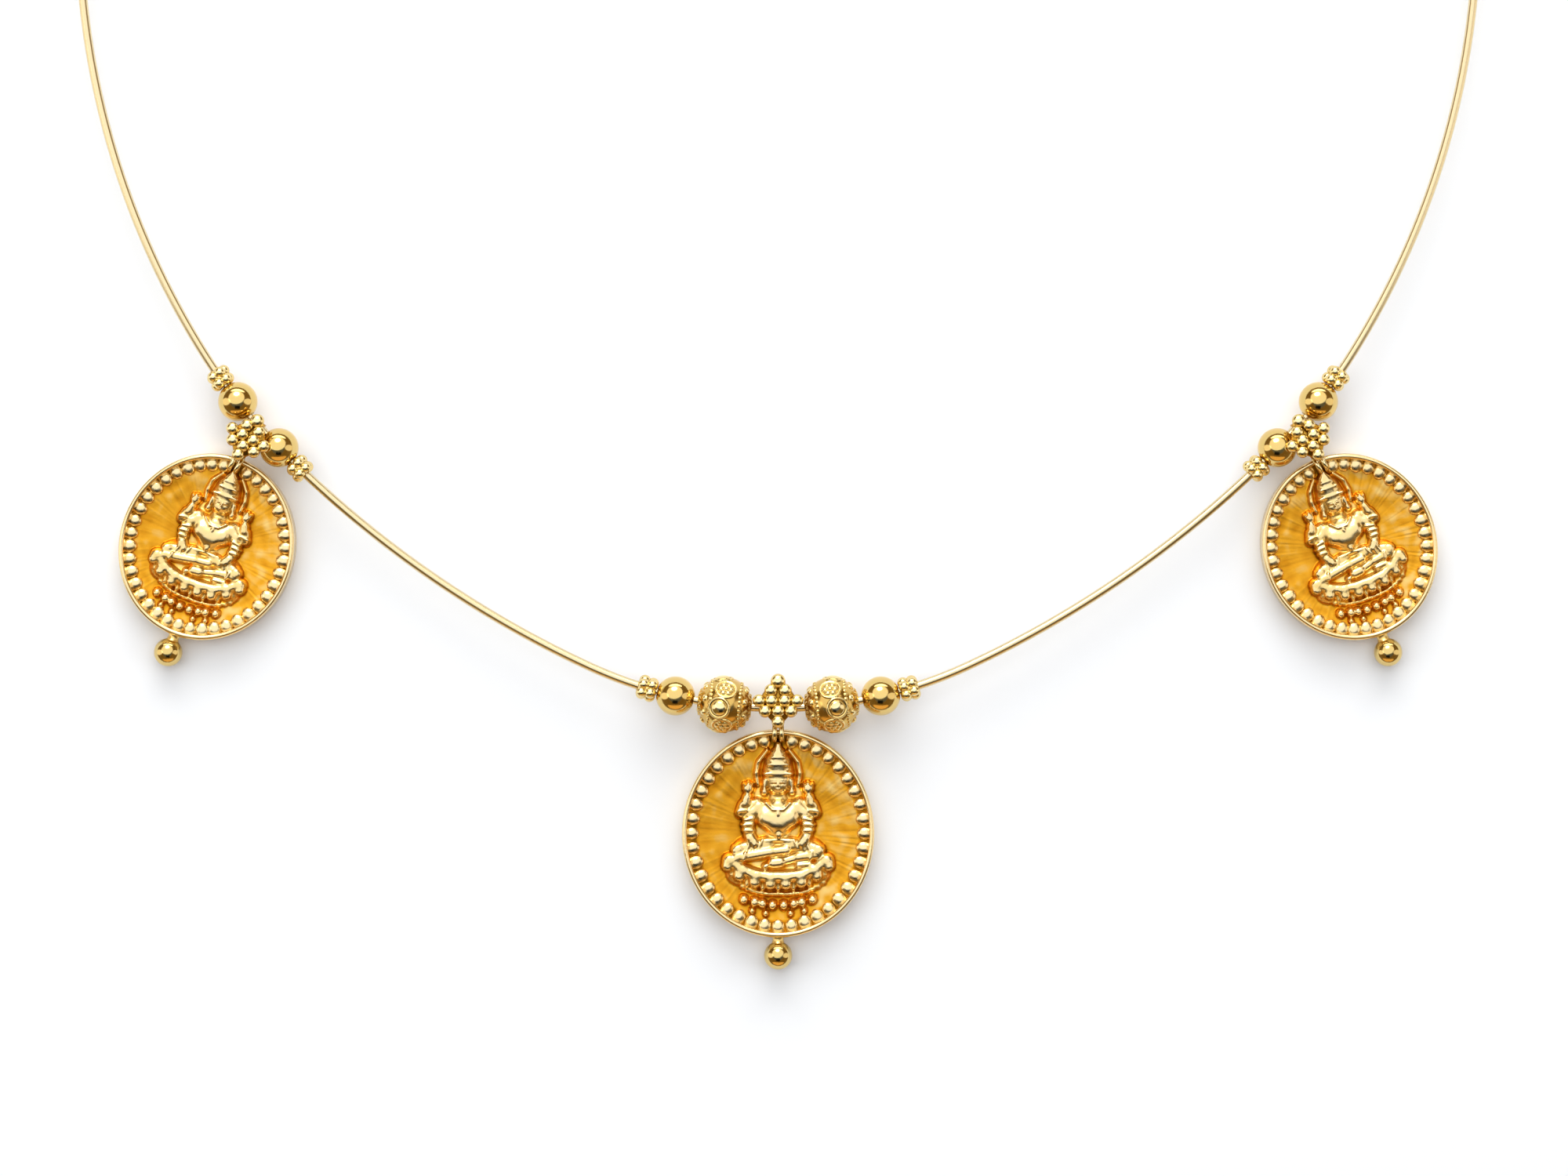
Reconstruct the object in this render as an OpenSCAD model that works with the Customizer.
// Temple necklace: a golden neck wire that carries three cast medallions, their
// granulated bails, round beads and granule spacers, laid flat on a table.
// X runs across, Y from the pendant towards the back clasp, Z up from the table.

/* [Neck wire] */
// Diameter of the wire
wire_d = 0.9; // [0.7:0.05:1.1]
// Radius of the front curve, under the centre group
front_r = 46; // [42:1:52]
// Turn of the front curve, from the middle to one side, in degrees
front_turn = 25; // [22:1:28]
// Radius of the long curve between the groups
flank_r = 108; // [100:1:120]
// Turn of that curve in degrees
flank_turn = 21; // [18:1:24]
// Radius of the bend at the side groups
bend_r = 54; // [48:1:62]
// Turn of that bend in degrees
bend_turn = 12; // [10:1:14]
// Radius of the curve beside the neck
side_r = 84; // [76:1:92]
// Radius of the curve behind the neck
back_r = 66; // [56:1:70]

/* [Beads] */
// Diameter of the smooth beads
plain_d = 4; // [3.6:0.1:4.4]
// Diameter of the two patterned beads
ornate_d = 6; // [5.6:0.1:6.4]
// Diameter of one grain on a spacer
spacer_grain_d = 1; // [0.9:0.05:1.1]
// Diameter of the spacer's tube
spacer_tube_d = 1.6; // [1.5:0.05:1.8]
// Radius of the wire rings on a patterned bead
ornate_ring_r = 0.8; // [0.7:0.05:0.9]
// Diameter of those rings' wire
ornate_ring_d = 0.3; // [0.2:0.05:0.4]
// Diameter of the grain in each ring
ornate_grain_d = 0.7; // [0.6:0.05:0.8]
// Diameter of the grains between the rings
ornate_dot_d = 0.5; // [0.4:0.05:0.6]
// Turn of a patterned bead on the wire, in degrees
ornate_turn = -8; // [-20:1:20]
// Room between the wire and a bore, all round
bore_clearance = 0.16; // [0.12:0.02:0.2]
// Room between two neighbours on the wire
bead_gap = 0.08; // [0.06:0.02:0.2]

/* [Groups] */
// Half of the room that the patterned beads leave the centre bail
center_half_gap = 2.45; // [2.2:0.05:3]
// Half of the room that the smooth beads leave a side bail
side_half_gap = 1.15; // [1.1:0.05:1.6]
// Place of a side bail, measured along the wire from the front
side_place = 61.8; // [58:0.2:66]

/* [Medallions] */
// Height of the centre medallion
center_length = 21.2; // [20:0.2:23]
// Height of a side medallion
side_length = 19.2; // [18:0.2:20.4]
// Width of a medallion as a share of its height
oval = 0.925; // [0.86:0.005:1]
// Lean of a side medallion, its foot outwards, in degrees
medallion_lean = 20.3; // [16:0.1:24]
// Thickness of the plate behind the figure
plate_t = 0.8; // [0.6:0.05:1]
// Height of the rim above the table
rim_h = 2.5; // [2.3:0.05:2.6]
// Thickness of the rim
rim_t = 0.5; // [0.4:0.05:0.6]
// Number of places for grains inside the rim; the top one is left free
rim_grains = 40; // [36:2:44]
// Diameter of a rim grain
rim_grain_d = 1; // [0.8:0.05:1.1]
// Room between the grains and the rim
rim_grain_gap = 0.08; // [0.04:0.02:0.12]
// Height of the cast figure above the plate
relief_h = 1.6; // [1.2:0.1:1.7]
// Diameter of the ball under a medallion
drop_d = 2.9; // [2.6:0.1:3.1]
// Diameter of its neck
neck_d = 1.1; // [0.9:0.1:1.4]
// Length of its neck
neck_l = 0.42; // [0.3:0.02:0.6]
// Room round the double ring in the rim's hole
hole_clearance = 0.17; // [0.14:0.01:0.2]

/* [Bails] */
// Diameter of a bail's grains
bail_grain_d = 1.3; // [1.2:0.05:1.4]
// Lean of a side bail, its foot outwards, in degrees
bail_lean = 30; // [26:1:34]
// How far the centre bail's middle lies above the wire
center_rise = 0.65; // [0.4:0.05:0.8]
// How far a side bail's middle lies below the wire
side_fall = 1; // [0.8:0.05:1.2]
// Width of the strap that goes round the wire
strap_w = 1.5; // [1.3:0.05:1.6]
// Thickness of that strap
strap_t = 0.4; // [0.35:0.05:0.45]
// Radius of the double ring that holds the medallion, at its wire's middle
link_r = 0.8; // [0.76:0.01:0.84]
// Diameter of the double ring's wire
link_d = 0.5; // [0.44:0.02:0.54]
// Gap between its two turns
link_gap = 0.2; // [0.16:0.02:0.24]
// Room between the wire and the bail's slot
slot_clearance = 0.15; // [0.12:0.01:0.2]
// Thickness of the plate under the grains
bail_plate_t = 0.4; // [0.3:0.05:0.5]

/* [Clasp] */
// Diameter of the barrel clasp
clasp_d = 3.5; // [3:0.1:4]
// Length of the clasp
clasp_l = 10; // [8:0.5:12]
// Depth of the wire in each end of the clasp
clasp_grip = 3.2; // [2.5:0.1:3.6]
// Length of each of its collars
collar_l = 1.2; // [0.8:0.1:1.6]
// Depth of the waist between the collars
waist_depth = 0.2; // [0.1:0.05:0.3]

/* [Hidden] */
$fn = 48;
sides = [-1, 1];

// The wire is drawn as tangent arcs: [radius, turn] from the front to one side
arcs = [
    [front_r, front_turn],
    [flank_r, flank_turn],
    [bend_r, bend_turn],
    [side_r, 90 - front_turn - flank_turn - bend_turn],
    [back_r, 90],
];
// Rings of points in one half of the wire, and points in a ring
wire_steps = 50;
wire_sides = 10;

// Start of arc n as [x, y, heading], and the length of wire before it
function arc_end(p, a) = [
    p.x + a[0] * (sin(p[2] + a[1]) - sin(p[2])),
    p.y + a[0] * (cos(p[2]) - cos(p[2] + a[1])),
    p[2] + a[1],
];
function arc_start(n) = n == 0 ? [0, 0, 0] : arc_end(arc_start(n - 1), arcs[n - 1]);
function arc_length(a) = a[0] * a[1] * PI / 180;
function arc_total(n) = n == 0 ? 0 : arc_total(n - 1) + arc_length(arcs[n - 1]);
// Place and heading at a length s along the wire, on the right half. Past the last
// arc the wire runs straight into the clasp.
function along(s, n = 0) =
    n == len(arcs) ? arc_start(n) - [s, 0, 0]
    : s > arc_length(arcs[n]) ? along(s - arc_length(arcs[n]), n + 1)
    : arc_end(arc_start(n), [arcs[n][0], s / arcs[n][0] * 180 / PI]);

back_point = arc_start(len(arcs));
loop_depth = back_point.y;
wire_half = arc_total(len(arcs)) + back_point.x - clasp_l / 2 + clasp_grip;

// Everything on the wire lies in one plane, which falls from the patterned beads
// to the clasp so that both rest on the table
rest_gap = 0.05;
front_z = ornate_d / 2 + rest_gap;
back_z = clasp_d / 2 + rest_gap;
fall = asin((front_z - back_z) / loop_depth);
function string_z(y) = front_z - y * tan(fall);

bore_r = wire_d / 2 + bore_clearance;
spacer_l = 1.8 * spacer_grain_d;

// Places of the beads, measured along the wire
ornate_place = center_half_gap + ornate_d / 2;
center_plain = ornate_place + ornate_d / 2 + bead_gap + plain_d / 2;
center_spacer = center_plain + plain_d / 2 + bead_gap + spacer_l / 2;
side_step = side_half_gap + plain_d / 2;
spacer_step = side_step + plain_d / 2 + bead_gap + spacer_l / 2;
plain_places = [center_plain, side_place - side_step, side_place + side_step];
spacer_places = [center_spacer, side_place - spacer_step, side_place + spacer_step];

// A bail's own frame has the middle of its grain field at the origin, v towards
// its apex and w up, with the wire's middle at w = 0
slot_r = wire_d / 2 + slot_clearance;
slot_low = -center_rise;
slot_high = side_fall + slot_clearance;
grain_r = bail_grain_d / 2;
grain_w = 2.1;
plate_w = grain_w - grain_r;
grain_step = 1.62 * grain_r;
grain_pitch = 2 * grain_r;
link_v = -4.85 * grain_r;
link_w = -0.78;
link_reach = link_r + link_d / 2;
// Middle of the double ring, below the wire in the direction of the bail
center_reach = center_rise + link_v;
side_reach = -side_fall + link_v;

// Where the side bail crosses the wire, and where its ring holds the rim
crossing = along(side_place);
side_hold = [crossing.x - side_reach * sin(bail_lean), crossing.y + side_reach * cos(bail_lean)];
center_hold = [0, center_reach];
// Middle of a medallion, from the point where its rim is held
function below(hold, length, lean) = let (d = length / 2 - rim_t / 2)
    [hold.x + d * sin(lean), hold.y - d * cos(lean)];
center_medallion = below(center_hold, center_length, 0);
side_medallion = below(side_hold, side_length, medallion_lean);

drop_r = drop_d / 2;
drop_reach = drop_r + neck_l;
front_edge = center_medallion.y - center_length / 2 - drop_reach - drop_r;
back_edge = loop_depth + clasp_d / 2;
mid_y = (front_edge + back_edge) / 2;

// The cast figure, as rounded ridges from one point to another. The columns are
// x and y of the start, x and y of the end, radius at the start and at the end,
// all in hundredths of the medallion's half height, then foot and lift in
// hundredths of the relief's height. These rows are repeated on the other side.
paired = [
    [ 12,  47,  12,  42,   3,   3,   0,  60], // ear and earring
    [ 15,  58,  19,  70,   3,   3,   0,  42], // band beside the crown
    [ 19,  70,  14,  83,   3,   2,   0,  42],
    [  5,  34,  11,  33,   3,   3,  45,  45], // collar
    [  9,  30,  20,  29,   8,   7,   0,  80], // shoulder
    [  9,  17,  11,  16,   9,   9,  35,  65], // breast
    [ 21,  28,  27,  13,   6,   5,   0,  70], // upper arm
    [ 27,  13,  24,  -6,   5,   5,   0,  75], // forearm with its bangles
    [ 28,   8,  25,   8,   4,   4,   0,  92],
    [ 26,   1,  24,   1,   4,   4,   0,  90],
    [ 24,  -8,  22, -11,   5,   4,   0,  90], // lower hand
    [ 20,  30,  33,  22,   5,   4,   0,  50], // rear arm
    [ 34,  22,  33,  38,   4,   4,   0,  62],
    [ 33,  29,  33,  30,   5,   5,   0,  70],
    [ 32,  38,  31,  41,   5,   5,   0,  72], // upper hand
    [ 31,  46,  31,  50,   6,   3,   0,  80], // lotus bud
    [ 12,  -8,  38, -13,   8,   8,   0,  72], // thigh
];
single = [
    [  0,  56,   0,  80,  15,   3,   0,  88], // crown
    [-12,  58,  12,  58,   3,   3,  45,  50],
    [ -8,  67,   8,  67,   2,   2,  45,  45],
    [  0,  43,   0,  51,   9,  12,   0,  96], // face
    [  0,  37,   0,  33,   7,   8,   0,  72], // neck
    [  0,  28,   0,   8,  17,  12,   0,  80], // trunk
    [  0,  26,   0,  24,   5,   5,  50,  50], // breast jewel
    [  0,   4,   0,  -4,  13,  14,   0,  68], // waist
    [-10,   3,  10,   3,   3,   3,  40,  45], // belt
    [  0,   1,   0,   0,   4,   4,  40,  60],
    [-42, -24,   8, -17,   6,   5,   0,  98], // shin in front
    [ 39, -20,  14, -26,   6,   5,   0,  94], // the other shin
    [ -6, -28,   1, -29,   6,   6,   0, 100], // foot
    [ 14, -31,  20, -30,   5,   4,   0,  88], // the other foot
];
// Lotus seat: a row of petals, the cushion above it and the tier of grains below
petal_count = 4;
function seat_y(k) = -42 + 0.85 * k * k;
petals = [for (k = [-petal_count:petal_count])
    [12.6 * k, seat_y(k), 12.9 * k, seat_y(k) - 7, 7, 5, 0, 96]];
cushion = [for (k = [-petal_count:petal_count - 1])
    [12.6 * k, seat_y(k) + 6, 12.6 * (k + 1), seat_y(k + 1) + 6, 5, 5, 0, 80]];
tier = [for (k = [-petal_count:petal_count])
    [8.6 * k, -68 + 0.42 * k * k, 8.6 * k, -68 + 0.42 * k * k, 4, 4, 0, 55]];
function mirrored(row) = [-row[0], row[1], -row[2], row[3], row[4], row[5], row[6], row[7]];
figure = concat(single, paired, [for (row = paired) mirrored(row)], petals, cushion, tier);

// Height of one ridge over a point, from 0 to about 1: round across its width
function ridge(p, row) = let (
    a = [row[0], row[1]],
    run = [row[2], row[3]] - a,
    share = run * run == 0 ? 0 : min(1, max(0, (p - a) * run / (run * run))),
    off = norm(p - a - share * run) / (row[4] + (row[5] - row[4]) * share))
    off >= 1 ? 0 : (row[6] + row[7] * sqrt(1 - off * off)) / 100;
function relief(p) = max([for (row = figure) ridge(p, row)]);

// The figure's height field: cells across and along, and half of its width at
// some heights, in hundredths of the medallion's half height
relief_cells = [30, 44];
relief_width = [[-75, 44], [-36, 62], [0, 47], [45, 41], [85, 24]];
relief_low = relief_width[0][0];
relief_high = relief_width[len(relief_width) - 1][0];
relief_sink = 0.25;

// The origin lies on the table, under the middle of the necklace
module on_table() {
    translate([0, -mid_y, 0]) children();
}

module on_string() {
    on_table() translate([0, 0, front_z]) rotate([-fall, 0, 0]) children();
}

// Puts a child at a length along the wire, its X axis along the wire
module strung(side, s) {
    p = along(s);
    on_string() translate([side * p.x, p.y, 0]) rotate([0, 0, side * p[2]]) children();
}

module bore(length) {
    rotate([0, 90, 0]) cylinder(h = length, r = bore_r, center = true);
}

// The wire as one tube: rings of points set square to it at even steps, from one
// end in the clasp round the front to the other
module neck_wire() {
    half = wire_half;
    stations = [for (k = [-wire_steps:wire_steps]) k / wire_steps * half];
    function spot(s) = let (p = along(abs(s))) s < 0 ? [-p.x, p.y, -p[2]] : p;
    rings = [for (s = stations) let (p = spot(s)) [for (k = [0:wire_sides - 1])
        let (turn = (k + 0.5) * 360 / wire_sides, r = wire_d / 2)
            [p.x + r * cos(turn) * sin(p[2]), p.y - r * cos(turn) * cos(p[2]), r * sin(turn)]]];
    last = len(rings) - 1;
    function at(i, k) = i * wire_sides + k % wire_sides;
    color("goldenrod") on_string() polyhedron(
        points = [for (ring = rings) each ring],
        faces = concat(
            [for (i = [0:last - 1], k = [0:wire_sides - 1]) each [
                [at(i, k), at(i + 1, k + 1), at(i + 1, k)],
                [at(i, k), at(i, k + 1), at(i + 1, k + 1)]]],
            [[for (k = [wire_sides - 1:-1:0]) k],
                [for (k = [0:wire_sides - 1]) at(last, k)]]));
}

// Barrel clasp, closed: a waisted barrel with a collar at each end
module clasp() {
    body_r = clasp_d / 2 - waist_depth;
    color("goldenrod") on_string() translate([0, loop_depth, 0]) difference() {
        union() {
            rotate([0, 90, 0]) cylinder(h = clasp_l, r = body_r, center = true);
            for (x = [-1, 0, 1]) translate([x * (clasp_l - collar_l) / 2, 0, 0])
                rotate([0, 90, 0]) cylinder(h = collar_l, d = clasp_d, center = true);
        }
        for (side = sides) translate([side * clasp_l / 2, 0, 0])
            bore(2 * (clasp_grip + bore_clearance));
    }
}

module plain_bead(side, place) {
    color("gold") strung(side, place) difference() {
        rotate([0, 90, 0]) sphere(d = plain_d);
        bore(plain_d + 1);
    }
}

// Two staggered rings of grains round a short tube
module spacer(side, place) {
    grains = 5;
    ring_r = spacer_tube_d / 2;
    row_x = (spacer_l - spacer_grain_d) / 2;
    color("gold") strung(side, place) difference() {
        union() {
            rotate([0, 90, 0]) cylinder(h = spacer_l - 0.3, d = spacer_tube_d, center = true);
            for (row = sides, k = [0:grains - 1])
                rotate([(k + row / 4) * 360 / grains, 0, 0]) translate([row * row_x, 0, ring_r])
                    sphere(d = spacer_grain_d);
        }
        bore(spacer_l + 1);
    }
}

// A ball with grains set in rings of wire round its middle, and smaller grains
// between them on both shoulders
module ornate_bead(side) {
    ball_r = ornate_d / 2 - ornate_ring_d / 2;
    ring_r = ornate_ring_r;
    rings = 8;
    color("gold") strung(side, ornate_place) rotate([-ornate_turn, 0, 0]) difference() {
        union() {
            sphere(r = ball_r);
            for (k = [0:rings - 1]) rotate([k * 360 / rings, 0, 0]) {
                translate([0, 0, sqrt(ball_r ^ 2 - ring_r ^ 2)]) rotate_extrude()
                    translate([ring_r, 0]) circle(d = ornate_ring_d);
                translate([0, 0, ornate_d / 2 - ornate_grain_d / 2]) sphere(d = ornate_grain_d);
                for (lean = [-48, 48]) rotate([180 / rings, 0, 0]) rotate([0, lean, 0])
                    translate([0, 0, ornate_d / 2 - ornate_dot_d / 2]) sphere(d = ornate_dot_d);
            }
        }
        bore(ornate_d + 1);
    }
}

// Field of grains on a plate, the strap behind it with its slot for the wire, and
// the double ring at its foot
module bail_shape() {
    field = [[0, 2], [-1, 1], [1, 1], [-2, 0], [0, 0], [2, 0], [-1, -1], [1, -1], [0, -2]];
    foot_v = slot_low - slot_r - strap_t;
    difference() {
        union() {
            rotate([90, 0, 90]) linear_extrude(height = strap_w, center = true) {
                for (v = [slot_low, slot_high]) translate([v, 0]) circle(r = slot_r + strap_t);
                translate([slot_low, -slot_r - strap_t])
                    square([slot_high - slot_low, slot_r + strap_t + plate_w]);
            }
            translate([0, 0, plate_w - 0.05]) linear_extrude(height = bail_plate_t)
                polygon([[0, 3.4 * grain_r], [2.1 * grain_r, 0], [0, -3.4 * grain_r], [-2.1 * grain_r, 0]]);
            for (g = field) translate([g.x * grain_pitch / 2, g.y * grain_step, grain_w])
                sphere(r = grain_r);
            translate([0, foot_v + 0.3, link_w]) rotate([90, 0, 0])
                cylinder(h = foot_v + 0.3 - link_v - link_r, r = link_d * 0.8);
            for (side = sides) translate([side * (link_d + link_gap) / 2, link_v, link_w])
                rotate([0, 90, 0]) rotate_extrude() translate([link_r, 0]) circle(d = link_d);
        }
        rotate([90, 0, 90]) linear_extrude(height = strap_w + 1, center = true) {
            for (v = [slot_low, slot_high]) translate([v, 0]) circle(r = slot_r);
            translate([slot_low, -slot_r]) square([slot_high - slot_low, 2 * slot_r]);
        }
    }
}

module bail_center() {
    color("gold") on_string() translate([0, center_rise, 0]) bail_shape();
}

module side_bail(side) {
    color("gold") on_string() mirror([side < 0 ? 1 : 0, 0, 0])
        translate([crossing.x, crossing.y, 0]) rotate([0, 0, bail_lean])
            translate([0, -side_fall, 0]) bail_shape();
}

// The figure as one closed height field, its foot sunk into the plate
module figure_relief(unit) {
    nx = relief_cells[0];
    ny = relief_cells[1];
    spots = [for (j = [0:ny], i = [0:nx])
        let (y = relief_low + (relief_high - relief_low) * j / ny)
            [(2 * i / nx - 1) * lookup(y, relief_width), y]];
    top = [for (p = spots) let (h = relief(p))
        [p.x * unit, p.y * unit, h == 0 ? -relief_sink : max(h, 0.08) * relief_h]];
    base = [for (p = spots) [p.x * unit, p.y * unit, -2 * relief_sink]];
    count = len(spots);
    function at(i, j) = j * (nx + 1) + i;
    rim = concat([for (i = [0:nx - 1]) at(i, 0)], [for (j = [0:ny - 1]) at(nx, j)],
        [for (i = [nx:-1:1]) at(i, ny)], [for (j = [ny:-1:1]) at(0, j)]);
    middle = count + len(rim);
    polyhedron(
        points = concat(top, [for (k = rim) base[k]], [[0, 0, -2 * relief_sink]]),
        faces = concat(
            [for (j = [0:ny - 1], i = [0:nx - 1]) each [
                [at(i, j), at(i, j + 1), at(i + 1, j + 1)],
                [at(i, j), at(i + 1, j + 1), at(i + 1, j)]]],
            [for (k = [0:len(rim) - 1]) let (n = (k + 1) % len(rim)) each [
                [rim[k], rim[n], count + n, count + k],
                [count + k, count + n, middle]]]));
}

// Plate, rim, grains, figure, hole for the ring, and the ball on its neck
module medallion_shape(length, hole_z) {
    a = length / 2;
    grain_a = a - rim_t - rim_grain_d / 2 - rim_grain_gap;
    hole_half_h = link_d / 2 + hole_clearance;
    hole_half_w = link_d + link_gap / 2 + hole_clearance;
    difference() {
        union() {
            difference() {
                scale([oval, 1, 1]) rotate_extrude($fn = 96) {
                    translate([0, -plate_t]) square([a - rim_t / 2, 2 * plate_t]);
                    translate([a - rim_t, -plate_t]) square([rim_t, rim_h - rim_t / 2 + plate_t]);
                    translate([a - rim_t / 2, rim_h - rim_t / 2]) circle(d = rim_t, $fn = 24);
                }
                translate([-length, -length, -2 * plate_t])
                    cube([2 * length, 2 * length, 2 * plate_t]); // leaves a flat back
            }
            for (k = [1:rim_grains - 1]) let (turn = k * 360 / rim_grains)
                translate([grain_a * oval * sin(turn), grain_a * cos(turn),
                    plate_t + 0.35 * rim_grain_d]) sphere(d = rim_grain_d, $fn = 24);
            translate([0, 0, plate_t]) figure_relief(a / 100);
            translate([0, rim_t / 2 - a, drop_r]) rotate([90, 0, 0])
                cylinder(h = drop_reach, d = neck_d);
            translate([0, -a - drop_reach, drop_r]) sphere(d = drop_d);
        }
        translate([0, a - rim_t / 2, hole_z]) rotate([90, 0, 0])
            linear_extrude(height = 3 * rim_t, center = true) {
                for (side = sides) translate([side * (hole_half_w - hole_half_h), 0])
                    circle(r = hole_half_h);
                square([2 * (hole_half_w - hole_half_h), 2 * hole_half_h], center = true);
            }
    }
}

module medallion(side, length, place, lean) {
    hold_y = place.y + (length / 2 - rim_t / 2) * cos(lean);
    color("orange") on_table() translate([side * place.x, place.y, 0])
        rotate([0, 0, side * lean]) medallion_shape(length, string_z(hold_y) + link_w - link_r);
}

module side_string(side) {
    name = side < 0 ? "left" : "right";
    ornate_bead(side);
    for (n = [0:len(plain_places) - 1])
        plain_bead(side, plain_places[n]);
    for (n = [0:len(spacer_places) - 1])
        spacer(side, spacer_places[n]);
    side_bail(side);
    medallion(side, side_length, side_medallion, medallion_lean);
}

neck_wire();
clasp();
medallion(1, center_length, center_medallion, 0);  // medallion_center
bail_center();
for (side = sides) side_string(side);
